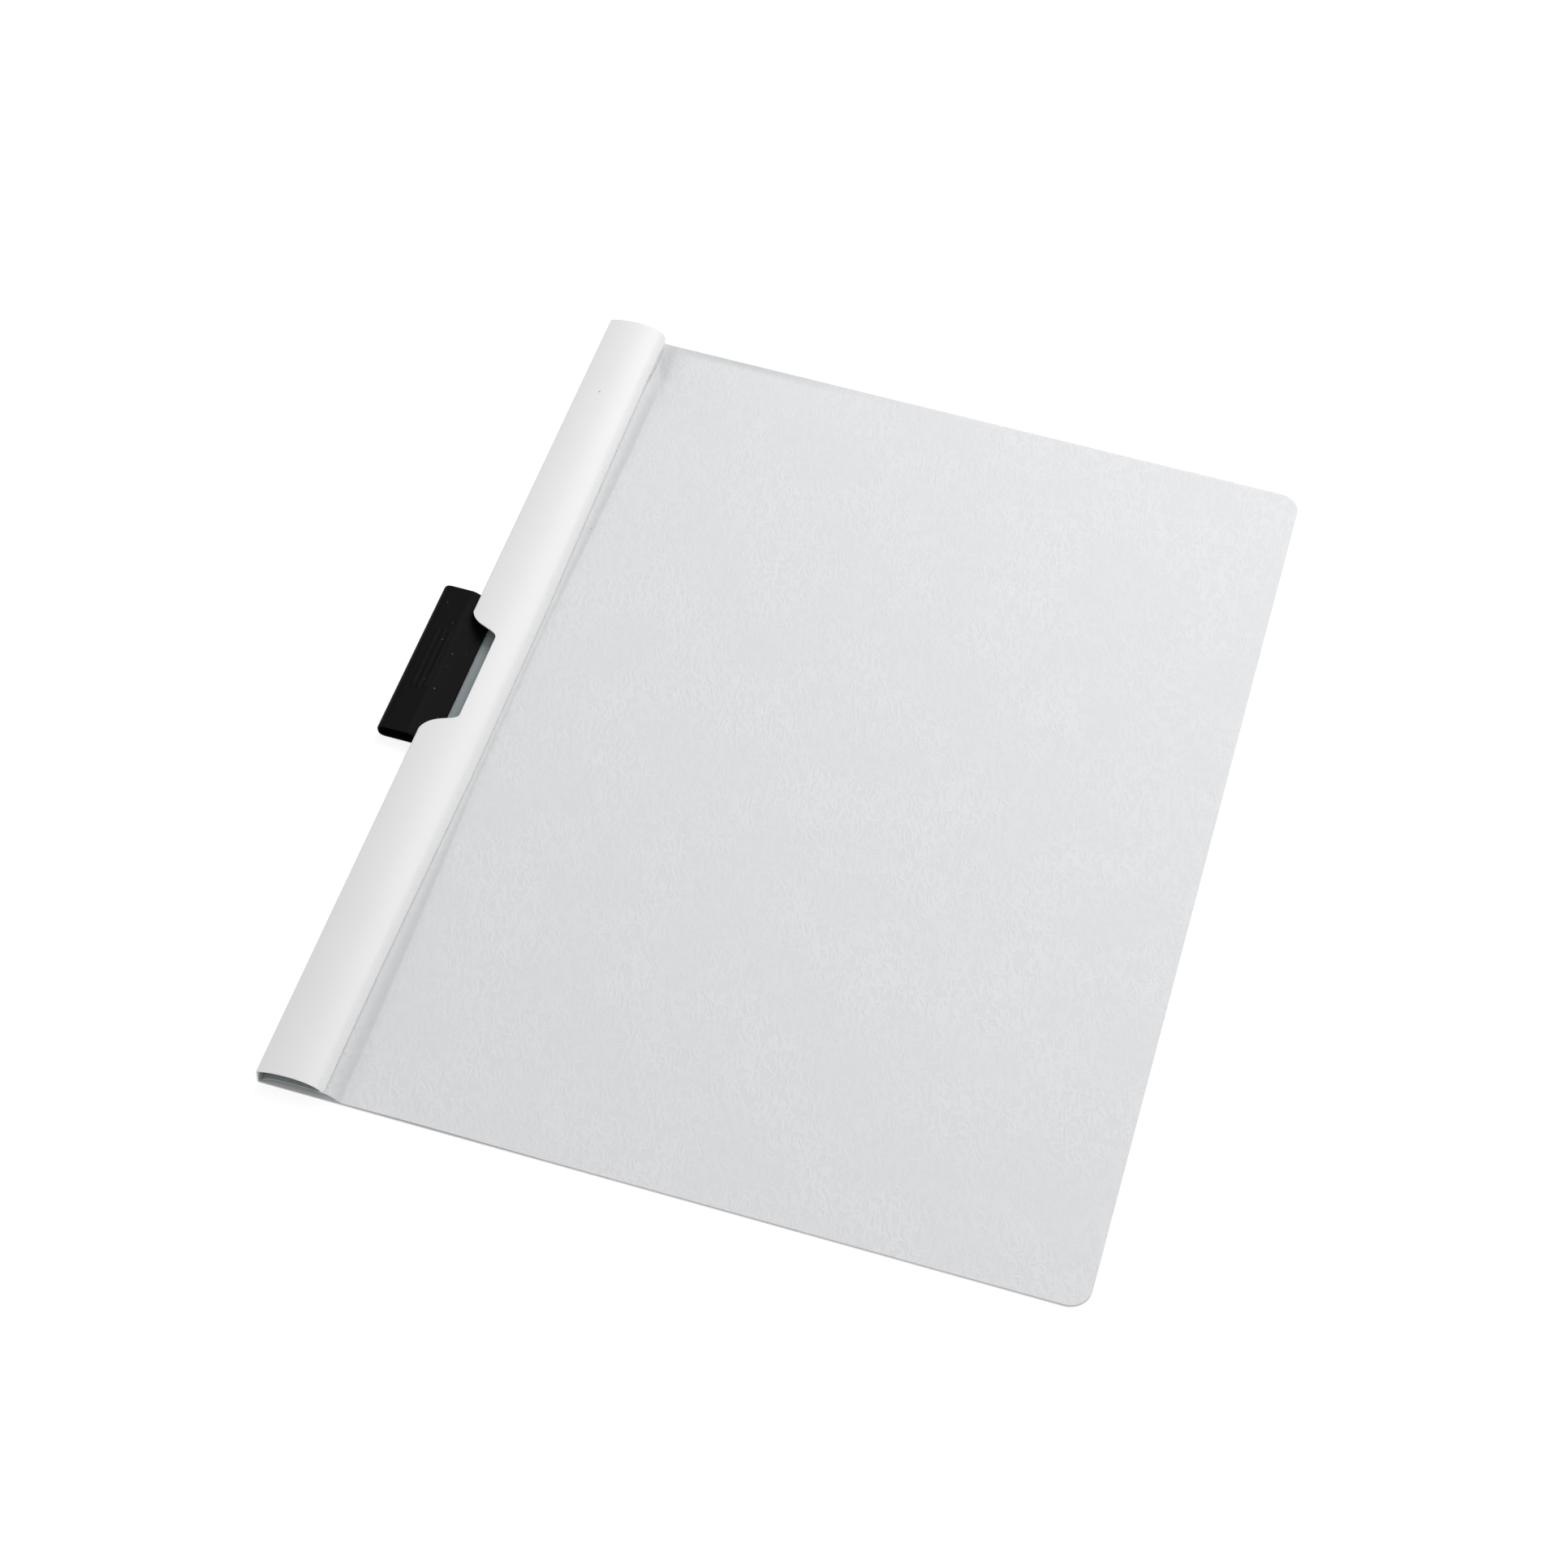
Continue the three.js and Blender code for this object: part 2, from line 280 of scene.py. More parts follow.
def grid_object(name, x, y, z, keep=None):
    """A sheet of quads through the rows and columns of x, y, z; keep says which faces stay."""
    points = to_frame(np.stack(np.broadcast_arrays(x, y, z), axis=-1).astype(float))
    rows, columns = points.shape[:2]
    index = np.arange(rows * columns).reshape(rows, columns)
    quads = np.stack([index[:-1, :-1], index[:-1, 1:], index[1:, 1:], index[1:, :-1]], axis=-1)
    quads = quads[keep] if keep is not None else quads.reshape(-1, 4)
    used, corners = np.unique(quads.reshape(-1), return_inverse=True)
    mesh = bpy.data.meshes.new(name)
    mesh.vertices.add(len(used))
    mesh.vertices.foreach_set("co", points.reshape(-1, 3)[used].astype(np.float32).ravel())
    mesh.loops.add(len(corners))
    mesh.loops.foreach_set("vertex_index", corners.astype(np.int32).ravel())
    mesh.polygons.add(len(quads))
    mesh.polygons.foreach_set("loop_start", np.arange(0, len(corners), 4, dtype=np.int32))
    mesh.update(calc_edges=True)
    mesh.validate()
    made = bpy.data.objects.new(name, mesh)
    bpy.context.scene.collection.objects.link(made)
    return made


def vertex_places(obj):
    """Every vertex in millimetres from spine, foot and table."""
    place = np.zeros(len(obj.data.vertices) * 3, np.float32)
    obj.data.vertices.foreach_get("co", place)
    return (place.reshape(-1, 3) - np.array([BACK_LOW.x, BACK_LOW.y, 0.0])) / MM


def add_attribute(obj, name, values):
    """Gives every vertex a number that the material reads by name."""
    made = obj.data.attributes.new(name, "FLOAT", "POINT")
    made.data.foreach_set("value", values.astype(np.float32))


def thicken(obj, thickness, bevel=0.0):
    """The sheet given its thickness to both sides, its rim eased, and shaded smooth.

    Its faces are turned out, and edges past the sharp angle stay sharp.
    """
    sharp, eased, doubles = math.radians(35.0), math.radians(50), 1e-7
    wall = obj.modifiers.new("Thickness", "SOLIDIFY")
    wall.thickness = thickness
    wall.offset = 0.0
    wall.use_even_offset = True
    if bevel:
        ease = obj.modifiers.new("Eased edges", "BEVEL")
        ease.width = bevel
        ease.segments = 2
        ease.limit_method = "ANGLE"
        ease.angle_limit = eased
    shown = obj.evaluated_get(bpy.context.evaluated_depsgraph_get())
    final = bpy.data.meshes.new_from_object(shown)
    obj.modifiers.clear()
    work = bmesh.new()
    work.from_mesh(final)
    bmesh.ops.remove_doubles(work, verts=work.verts, dist=doubles)
    bmesh.ops.recalc_face_normals(work, faces=work.faces)
    work.to_mesh(final)
    work.free()
    final.name = obj.name
    final.shade_smooth()
    final.set_sharp_from_angle(angle=sharp)
    obj.data = final
    return obj


# ---- Materials

# A Mix node's colour sockets by number, because its other kinds of socket have the same names
MIX_FIRST, MIX_SECOND, MIX_RESULT = 6, 7, 2


def node_group(name, inputs, outputs):
    """An empty shader node group: inputs are (name, kind, default), outputs (name, kind)."""
    group = bpy.data.node_groups.new(name, "ShaderNodeTree")
    for label, kind, default in inputs:
        socket = group.interface.new_socket(name=label, in_out="INPUT", socket_type=kind)
        if default is not None:
            socket.default_value = default
    for label, kind in outputs:
        group.interface.new_socket(name=label, in_out="OUTPUT", socket_type=kind)
    return group, group.nodes.new("NodeGroupInput"), group.nodes.new("NodeGroupOutput")


def set_inputs(tree, target, values):
    """Sets or links a node's sockets by name or number."""
    for key, value in values.items():
        if isinstance(value, bpy.types.NodeSocket):
            tree.links.new(value, target.inputs[key])
        else:
            target.inputs[key].default_value = value


def add_node(tree, kind, values=None, **settings):
    """Adds a node, sets its properties and its inputs."""
    made = tree.nodes.new(kind)
    for key, value in settings.items():
        setattr(made, key, value)
    set_inputs(tree, made, values or {})
    return made


def maths(tree, operation, *values):
    """The result of a Math node."""
    made = add_node(tree, "ShaderNodeMath", dict(enumerate(values)), operation=operation)
    return made.outputs[0]


def vector_maths(tree, operation, first, second):
    """The result of a Vector Math node; for SCALE, second is the factor."""
    key = "Scale" if operation == "SCALE" else 1
    made = add_node(tree, "ShaderNodeVectorMath", {0: first, key: second}, operation=operation)
    return made.outputs["Value" if operation == "DISTANCE" else "Vector"]


def noise(tree, place, scale, detail, output="Fac"):
    """An output of a Noise Texture at place."""
    made = add_node(tree, "ShaderNodeTexNoise", {"Vector": place, "Scale": scale, "Detail": detail})
    return made.outputs[output]


def ranged(tree, value, given=(0.0, 1.0), wanted=(0.0, 1.0), kind="LINEAR"):
    """A value carried from the given range to the wanted one, and kept within it."""
    ends = dict(zip(("From Min", "From Max", "To Min", "To Max"), (*given, *wanted)))
    made = add_node(tree, "ShaderNodeMapRange", {"Value": value, **ends}, interpolation_type=kind)
    return made.outputs[0]


def mixed(tree, factor, first, second):
    """A colour that passes from first to second as factor goes from 0 to 1."""
    made = add_node(tree, "ShaderNodeMix", {"Factor": factor}, data_type="RGBA")
    set_inputs(tree, made, {MIX_FIRST: first, MIX_SECOND: second})
    return made.outputs[MIX_RESULT]


def bump(tree, height, distance, amount, over=None):
    """A normal raised by height, over another normal where one is given."""
    values = {"Height": height, "Distance": distance, "Strength": amount}
    if over is not None:
        values["Normal"] = over
    return add_node(tree, "ShaderNodeBump", values).outputs[0]


def tinted(base, *factors):
    """A colour times one factor, or one for each channel, kept to 1, with full alpha."""
    factors = factors if len(factors) == 3 else factors * 3
    return (*(min(1.0, c * k) for c, k in zip(base, factors)), 1.0)


def leather_grain_group():
    """Leather-like grain drawn out along the spine, in stronger and weaker patches.

    A ridge is 1 where |2 noise - 1| is 0 and falls smoothly to 0 where it is 0.34. Height is
    0.7 ridge patch + 0.3 crinkle; Tone is the broad noise that the patches come from.
    """
    found = bpy.data.node_groups.get("Leather grain")
    if found:
        return found
    tree, given, out = node_group(
        "Leather grain",
        [("Vector", "NodeSocketVector", None), ("Ridges per metre", "NodeSocketFloat", 1000.0)],
        [("Height", "NodeSocketFloat"), ("Tone", "NodeSocketFloat")],
    )
    at, ridges = given.outputs["Vector"], given.outputs["Ridges per metre"]

    def per_ridge(share):
        """The scale of a noise, as a share of the ridges per metre."""
        return maths(tree, "MULTIPLY", ridges, share)

    bend = noise(tree, at, per_ridge(0.22), detail=1.0, output="Color")
    centred = vector_maths(tree, "SUBTRACT", bend, (0.5, 0.5, 0.5))
    moved = vector_maths(tree, "SCALE", centred, maths(tree, "DIVIDE", 4.5, ridges))
    place = vector_maths(tree, "ADD", at, moved)
    drawn = add_node(tree, "ShaderNodeMapping", {"Vector": place, "Scale": (1.0, 0.38, 0.6)})
    fold = noise(tree, drawn.outputs[0], per_ridge(0.62), detail=0.5)
    apart = maths(tree, "ABSOLUTE", maths(tree, "MULTIPLY_ADD", fold, 2.0, -1.0))
    ridge = ranged(tree, apart, given=(0.0, 0.34), wanted=(1.0, 0.0), kind="SMOOTHSTEP")
    crinkle = noise(tree, at, per_ridge(1.3), detail=2.0)
    broad = noise(tree, at, per_ridge(0.035), detail=2.0)
    patch = ranged(tree, broad, given=(0.36, 0.64), wanted=(0.5, 1.0), kind="SMOOTHSTEP")
    raised = maths(tree, "MULTIPLY", ridge, patch)
    height = maths(tree, "MULTIPLY_ADD", crinkle, 0.3, maths(tree, "MULTIPLY", raised, 0.7))
    set_inputs(tree, out, {"Height": height, "Tone": broad})
    return tree


def knurl_group():
    """Knurled weld: (sin(ax) sin(ay) / 2 + noise) Band, where a is a full turn per Pitch."""
    found = bpy.data.node_groups.get("Knurled weld")
    if found:
        return found
    tree, given, out = node_group(
        "Knurled weld",
        [
            ("Vector", "NodeSocketVector", None),
            ("Pitch", "NodeSocketFloat", 0.001),
            ("Band", "NodeSocketFloat", 0.0),
        ],
        [("Height", "NodeSocketFloat")],
    )
    split = add_node(tree, "ShaderNodeSeparateXYZ", {0: given.outputs["Vector"]})
    turn = maths(tree, "DIVIDE", math.tau, given.outputs["Pitch"])
    across, along = (
        maths(tree, "SINE", maths(tree, "MULTIPLY", split.outputs[axis], turn)) for axis in "XY"
    )
    waves = maths(tree, "MULTIPLY", across, along)
    rough = noise(tree, given.outputs["Vector"], scale=1900.0, detail=1.0)
    relief = maths(tree, "ADD", maths(tree, "MULTIPLY", waves, 0.5), rough)
    set_inputs(tree, out, {"Height": maths(tree, "MULTIPLY", relief, given.outputs["Band"])})
    return tree


def speck_group():
    """One ragged speck: 1 where the distance to Centre is less than Radius (noise + 0.5)."""
    found = bpy.data.node_groups.get("Speck")
    if found:
        return found
    tree, given, out = node_group(
        "Speck",
        [
            ("Vector", "NodeSocketVector", None),
            ("Centre", "NodeSocketVector", (0.0, 0.0, 0.0)),
            ("Radius", "NodeSocketFloat", 0.0004),
        ],
        [("Mask", "NodeSocketFloat")],
    )
    at, centre, radius = (given.outputs[name] for name in ("Vector", "Centre", "Radius"))
    apart = vector_maths(tree, "DISTANCE", at, centre)
    ragged = noise(tree, at, scale=2500.0, detail=1.0)
    rim = maths(tree, "MULTIPLY", radius, maths(tree, "ADD", ragged, 0.5))
    set_inputs(tree, out, {"Mask": maths(tree, "LESS_THAN", apart, rim)})
    return tree


def new_material(name):
    """A material with its Principled shader, and the Object coordinates its patterns read."""
    made = bpy.data.materials.new(name)
    made.use_nodes = True
    tree = made.node_tree
    shader = next(n for n in tree.nodes if n.type == "BSDF_PRINCIPLED")
    place = add_node(tree, "ShaderNodeTexCoord").outputs["Object"]
    return made, tree, shader, place


def add_specks(tree, place, base, speck_colour, specks):
    """The base colour with a dark ragged speck at each x, y, z, radius in millimetres."""
    for x, y, z, radius in specks:
        centre = tuple(to_frame(np.array([x, y, z])))
        one = add_node(tree, "ShaderNodeGroup", node_tree=speck_group())
        set_inputs(tree, one, {"Vector": place, "Centre": centre, "Radius": radius * MM})
        base = mixed(tree, one.outputs["Mask"], base, (*speck_colour, 1.0))
    return base


def white_film_material(s):
    """Smooth satin white film with a faint mottle, the knurled weld, a little painted shade on the
    weld band, and a few specks.
    """
    made, tree, shader, place = new_material("Satin white film")
    white = tuple(s.white)
    # grey of the knurl's dots, also used for the painted shade on the weld band
    pressed = tinted(white, 0.86)
    cloud = noise(tree, place, scale=42.0, detail=3.0)
    mottle = mixed(tree, cloud, tinted(white, 0.985), tinted(white, 1.012))
    band = add_node(tree, "ShaderNodeAttribute", attribute_name="weld").outputs["Fac"]
    knurl = add_node(tree, "ShaderNodeGroup", node_tree=knurl_group())
    set_inputs(tree, knurl, {"Vector": place, "Pitch": s.seam_pitch, "Band": band})
    height = knurl.outputs["Height"]
    dotted = mixed(tree, ranged(tree, height, given=(0.45, 1.0)), mottle, pressed)
    # painted shade: the weld band along the strip's free edge greyed a tenth of the way towards the
    # knurl grey
    weld_band_shaded = mixed(tree, maths(tree, "MULTIPLY", band, 0.1), dotted, pressed)
    fine = noise(tree, place, scale=900.0, detail=2.0)
    skin = bump(tree, fine, distance=0.000006, amount=0.5)
    set_inputs(
        tree,
        shader,
        {
            "Base Color": add_specks(tree, place, weld_band_shaded, tuple(s.speck), WHITE_SPECKS),
            "Roughness": ranged(tree, cloud, wanted=(0.40, 0.50)),
            "Specular IOR Level": 0.45,
            "Normal": bump(tree, height, distance=0.00005, amount=0.6, over=skin),
        },
    )
    return made


def grained_film_material(s):
    """Translucent frosted film with a fine leather-like grain, and one speck.

    It is painted darker, towards a grey-green shade, where no white film lies close behind it:
    painted shade on the hidden margin, on the slope beside the strip and in a band at the head. The
    hollows of the grain are painted darker too: painted shade.
    """
    made, tree, shader, place = new_material("Frosted grained film")
    frosted = tuple(s.frosted)
    grain = add_node(tree, "ShaderNodeGroup", node_tree=leather_grain_group())
    set_inputs(tree, grain, {"Vector": place, "Ridges per metre": 1.0 / s.grain})
    height = grain.outputs["Height"]
    tone = mixed(tree, grain.outputs["Tone"], tinted(frosted, 0.992), tinted(frosted, 1.008))
    # painted shade: the low parts of the grain darkened towards 0.9 of the film colour
    grain_hollow_shade = mixed(tree, ranged(tree, height, wanted=(0.5, 0.0)), tone, tinted(frosted, 0.9))
    # painted shade: the film darkened towards a grey-green shade colour on the hidden margin, on
    # the slope beside the strip and in a band at the head
    painted_shade = add_node(tree, "ShaderNodeAttribute", attribute_name="painted_shade").outputs["Fac"]
    shaded_film = mixed(tree, painted_shade, grain_hollow_shade, tinted(frosted, 0.38, 0.43, 0.43))
    set_inputs(
        tree,
        shader,
        {
            "Base Color": add_specks(tree, place, shaded_film, tuple(s.speck), GRAINED_SPECKS),
            "Roughness": ranged(tree, height, wanted=(0.48, 0.40)),
            "Specular IOR Level": 0.4,
            "Alpha": 0.7,
            "Normal": bump(tree, height, distance=s.grain_depth, amount=1.0),
        },
    )
    return made


def black_steel_material(s):
    """Black coated spring steel with a faint orange peel and a few grains of pale dust.

    A grain of dust is a spot round the point of one Voronoi cell in six, at most 0.06 cells wide
    to each side.
    """
    made, tree, shader, place = new_material("Black coated steel")
    black = tuple(s.black)
    dust_colour = (0.11, 0.10, 0.10, 1.0)
    peel = noise(tree, place, scale=700.0, detail=2.0)
    haze = noise(tree, place, scale=120.0, detail=3.0)
    tone = mixed(tree, haze, tinted(black, 1.0), tinted(black, 1.6))
    cells = add_node(
        tree, "ShaderNodeTexVoronoi", {"Vector": place, "Scale": 260.0}, voronoi_dimensions="2D"
    )
    lot = add_node(tree, "ShaderNodeSeparateColor", {0: cells.outputs["Color"]})
    reach = maths(tree, "MULTIPLY", lot.outputs["Green"], 0.06)
    near = maths(tree, "LESS_THAN", cells.outputs["Distance"], reach)
    dust = maths(tree, "MULTIPLY", near, maths(tree, "GREATER_THAN", lot.outputs["Red"], 0.82))
    set_inputs(
        tree,
        shader,
        {
            "Base Color": mixed(tree, dust, tone, dust_colour),
            "Roughness": ranged(tree, haze, wanted=(0.5, 0.62)),
            "Specular IOR Level": 0.05,
            "Normal": bump(tree, peel, distance=0.000012, amount=0.6),
        },
    )
    return made


def dress(obj, material, body, *nodes, slot):
    """Gives the piece its material and its body, and hides the CAD nodes that it stands for; slot
    is not used.
    """
    obj.data.materials.clear()
    obj.data.materials.append(material)
    if body:
        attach(obj, body)
    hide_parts(*nodes)


# ---- Pieces


class FOLDER_OT_white_cover(bpy.types.Operator):
    """Build the folded white film: back cover, spine, and binding strip with slot and notch"""

    bl_idname = "clip_folder.white_cover"
    bl_label = "White cover"

    def rows(self, s):
        """Places along the spine: even steps, finer at both ends and the notch's shoulders.

        There is a row at each end of the slot.
        """
        step, fine, end_zone, closest = 1.5, 0.3, 3, 0.04
        middle, half = s.slot_middle / MM, s.slot_length / MM / 2
        shoulder = np.arange(s.notch_floor / MM / 2 - 1.5, s.notch_mouth / MM / 2 + 1.0, fine)
        ends = np.linspace(0, end_zone, 10)
        y = np.concatenate([
            np.arange(0, LENGTH + 0.1, step), ends, LENGTH - ends,
            middle - shoulder, middle + shoulder, [middle - half, middle + half, LENGTH],
        ])
        return spaced(y[(y >= 0) & (y <= LENGTH)], closest)

    def notch_edge(self, y, s):
        """x of the notch's edge at y: an S-shaped cubic Bezier from mouth to floor; 0 outside."""
        mouth, floor = s.notch_mouth / MM / 2, s.notch_floor / MM / 2
        depth = s.notch_depth / MM
        mouth_handle, floor_handle = 8.5, 3.7
        t = np.linspace(0, 1, 200)
        x = bezier(0.0, 0.0, depth, depth, t)
        away = bezier(mouth, mouth - mouth_handle, floor + floor_handle, floor, t)
        return np.interp(np.abs(y - s.slot_middle / MM), away[::-1], x[::-1])

    def execute(self, context):
        s = context.scene.folder_covers
        y = self.rows(s)
        middle, half = s.slot_middle / MM, s.slot_length / MM / 2
        film, fold, top = s.back_film / MM, s.fold / MM, s.spine / MM
        corner, bend = s.corner / MM, fold - film / 2
        slot_low = math.asin((film - fold) / bend)
        slot_high = math.asin((CLIP_TOP + SLOT_PLAY - (top - fold)) / bend)

        # floor, lower fold, spine wall and upper fold up to the slot's top edge
        to_slot = 6
        turned = np.linspace(math.pi / 2, 0, 12)
        floor_x = np.concatenate([
            WIDTH - corner + corner * np.sin(turned),
            np.linspace(WIDTH - corner, fold, 26)[1:],
        ])
        lower = np.concatenate([
            np.linspace(1.5 * math.pi, math.pi - slot_low, to_slot)[1:],
            np.linspace(math.pi - slot_low, math.pi, 5)[1:],
        ])
        wall = np.linspace(fold, top - fold, 8)[1:-1]
        upper = np.linspace(math.pi, math.pi - slot_high, 5)
        x = np.concatenate([
            floor_x, fold + bend * np.cos(lower), 0 * wall + film / 2, fold + bend * np.cos(upper),
        ])
        z = np.concatenate([
            0 * floor_x + film / 2, fold + bend * np.sin(lower), wall,
            top - fold + bend * np.sin(upper),
        ])
        wide = np.ones_like(y)
        below_x, below_z = x[None, :] * wide, z[None, :] * wide

        # upper fold and arched strip, which start at the notch's edge
        fold_share = 0.04
        near_handle, far_handle = 0.36, 0.85
        span, edge = strip_span(y, s), edge_middle(y, s)
        level = top - film / 2
        rise = [between(at_clip, at_ends, y, s) for at_clip, at_ends in ((1.0, 2.0), (0.4, 1.7))]

        def strip(w):
            """x and z of the strip: an arc for w up to fold_share, then a cubic Bezier."""
            turn = math.pi - slot_high - (math.pi / 2 - slot_high) * np.clip(w / fold_share, 0, 1)
            t = np.clip((w - fold_share) / (1 - fold_share), 0, 1)
            arc_x, arc_z = fold + bend * np.cos(turn), top - fold + bend * np.sin(turn)
            arch_x = bezier(fold, span * near_handle, span * far_handle, span, t)
            arch_z = bezier(level, level + rise[0], level + rise[1], edge, t)
            return np.where(w < fold_share, arc_x, arch_x), np.where(w < fold_share, arc_z, arch_z)

        table = np.linspace(0, 1, 600)[None, :] * wide
        clip_row = int(np.argmin(np.abs(y[:, 0] - middle)))
        table_x = strip(table)[0][clip_row]
        start = np.interp(self.notch_edge(y[:, 0], s), table_x, table[0])[:, None]
        steps = np.concatenate([
            np.linspace(0, 0.05, 7), np.linspace(0.05, 0.8, 24)[1:], np.linspace(0.8, 1, 22)[1:],
        ])[None, :]
        strip_x, strip_z = strip(start + (1 - start) * steps)

        # the weld pressed down along the free edge, and a slight ripple between edge and fold
        press_depth, ripple_depth = 0.08, 0.06
        from_edge = span - strip_x
        press = smooth((s.seam_width / MM + WELD_RAMP - from_edge) / WELD_RAMP)
        strip_z = strip_z - press_depth * press
        waves = np.sin(y * 0.155 + 0.6) * np.sin(y * 0.047 + 1.9) - 1
        ripple = waves * ripple_depth * smooth((strip_x - 2) / 6)
        beside_slot = smooth((np.abs(y - middle) - half) / 20)
        strip_z = strip_z + ripple * beside_slot * smooth(from_edge / 5)

        # one sheet of both, its corners rounded and the slot left open
        foot_radius, head_radius = 0.5, 2.0
        joined = below_x.shape[1]
        x = np.concatenate([below_x, strip_x[:, 1:]], axis=1)
        z = np.concatenate([below_z, strip_z[:, 1:]], axis=1)
        x[:, joined - 1], z[:, joined - 1] = strip_x[:, 0], strip_z[:, 0]
        column = np.arange(x.shape[1])
        pull_fore = corner_pull(x, WIDTH, corner) * (column < len(floor_x))
        foot = pull_fore + corner_pull(x, span, foot_radius) * (column >= joined)
        head = LENGTH - pull_fore - corner_pull(x, span, head_radius) * (column >= joined)
        keep = np.ones((x.shape[0] - 1, x.shape[1] - 1), bool)
        in_slot = np.abs((y[1:, 0] + y[:-1, 0]) / 2 - middle) < half
        first = len(floor_x) + to_slot - 2
        keep[np.ix_(in_slot, np.arange(first, joined - 1))] = False
        cover = grid_object("white_cover", x, pulled(y, foot, head), z, keep)
        thicken(cover, s.back_film)

        # "weld" is 1 on the strip's pressed band
        above, past_edge = 1.2, -0.6
        place = vertex_places(cover)
        reach = strip_span(place[:, 1], s) - place[:, 0]
        weld = smooth((s.seam_width / MM - reach) / WELD_RAMP)
        add_attribute(cover, "weld", weld * (place[:, 2] > above) * (reach > past_edge))
        dress(cover, white_film_material(s), "folder", "back_cover", slot="white_film")
        return {"FINISHED"}


class FOLDER_OT_front_film(bpy.types.Operator):
    """Build the grained front film with its hidden margin, which slopes down from the strip where
    the cover opens
    """

    bl_idname = "clip_folder.front_film"
    bl_label = "Front film"

    def painted_shade(self, place, rest, s):
        """How much painted shade each vertex gets, from 0 to 1, where no white film lies close
        behind it.

        1 for the margin inside the strip, at most half_dark on the slope beside the strip, where
        past goes from 0 to 1 down the slope, and in a band at the head.
        """
        half_dark = 0.32
        x, y = place[:, 0], place[:, 1]
        beyond = x - strip_span(y, s) - EDGE_MARGIN
        past = beyond / slope_run(np.maximum(weld_level(y, s) - rest, 0))
        falling = (0.55 + 0.45 * smooth(past * 1.2)) * smooth((1.15 - past) / 0.35)
        beside = falling * (beyond > -0.2)
        head_band = smooth((5.5 - (LENGTH - y)) / 4.0) * mound(x, 44, 34)
        dark = np.maximum(half_dark * beside, half_dark * head_band * smooth((past - 0.6) / 0.6))
        return np.maximum(dark, smooth(-1.0 - beyond))

    def execute(self, context):
        s = context.scene.folder_covers
        ends = np.linspace(0, 6, 9)
        y = spaced(np.concatenate([np.arange(0, LENGTH, 1.6), ends, LENGTH - ends]), closest=0.2)
        from_head = LENGTH - y
        film, back = s.front_film / MM, s.back_film / MM
        rest = back + FILM_GAP + film / 2
        span, weld = strip_span(y, s), weld_level(y, s)
        weld = weld - (weld - rest - 0.1) * smooth((26 - from_head) / 18)

        # hidden margin, hooked down at the spine, then straight to the weld
        lips = CLIP_UNDER + STEEL + MOUTH / 2
        t = np.linspace(0, 1, 22)[None, :]
        hook = [between(lips, at_ends, y, s) for at_ends in (back + film, 3.9, 3.4)]
        hood_end, weld_end = span * 0.88, span - 0.1
        hood_x = bezier(0.9, span * 0.16, span * 0.45, hood_end, t)
        hood_z = bezier(hook[0], hook[1], hook[2], hook[2], t)
        to_weld = np.linspace(0, 1, 6)[None, 1:]
        weld_x = hood_end + (weld_end - hood_end) * to_weld
        weld_z = hook[2] + (weld - hook[2]) * to_weld
        across = np.linspace(0, 1, 9)[None, 1:]
        start, high = span + EDGE_MARGIN, np.maximum(rest, weld)
        bridge_x = weld_end + (EDGE_MARGIN + 0.1) * across
        bridge_z = weld + (high - weld) * across

        # soft slope down from the weld, then the flat cover
        fall = high - rest
        run = slope_run(fall)
        t = np.linspace(0, 1, 20)[None, 1:]
        slope_x = bezier(start, start + run * 0.45, start + run * 0.78, start + run, t)
        slope_z = bezier(high, high - fall * 0.12, rest + fall * 0.06, rest + 0 * y, t)
        flat = np.linspace(0, 1, 92)[None, 1:]
        corner = s.corner / MM - FRONT_INSET
        turned = np.linspace(0, math.pi / 2, 12)[None, 1:]
        flat_x = start + run + (FRONT_EDGE - corner - start - run) * flat
        round_x = FRONT_EDGE - corner + corner * np.sin(turned) + 0 * y
        parts_x = [hood_x, weld_x, bridge_x, slope_x, flat_x, round_x]
        parts_z = [hood_z, weld_z, bridge_z, slope_z, rest + 0 * flat_x, rest + 0 * round_x]
        x, z = np.concatenate(parts_x, axis=1), np.concatenate(parts_z, axis=1)

        # the film's own play: it stands a little off the back cover near foot and head
        foot_lift, head_lift, wave_lift = 0.4, 1.0, 0.03
        open_part = smooth((x - start - 2) / 8)
        at_foot = mound(y, 0, 26) * mound(x, 48, 27)
        at_head = smooth(from_head / 5) * mound(from_head, 5, 24) * mound(x, 46, 30)
        wave = np.sin(x * 0.043 + y * 0.017) * np.sin(y * 0.031 - x * 0.012 + 1.0)
        play = foot_lift * at_foot + head_lift * at_head + wave_lift * (1 + wave)
        z = z + open_part * play

        pull = FRONT_INSET + corner_pull(x, FRONT_EDGE, corner)
        cover = grid_object("front_film", x, pulled(y, pull, LENGTH - pull), z)
        thicken(cover, s.front_film)
        # painted shade mask for the grained film's colour
        add_attribute(cover, "painted_shade", self.painted_shade(vertex_places(cover), rest, s))
        material = grained_film_material(s)
        dress(cover, material, None, "front_cover", "front_cover_margin", slot="grained_film")
        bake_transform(cover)
        return {"FINISHED"}


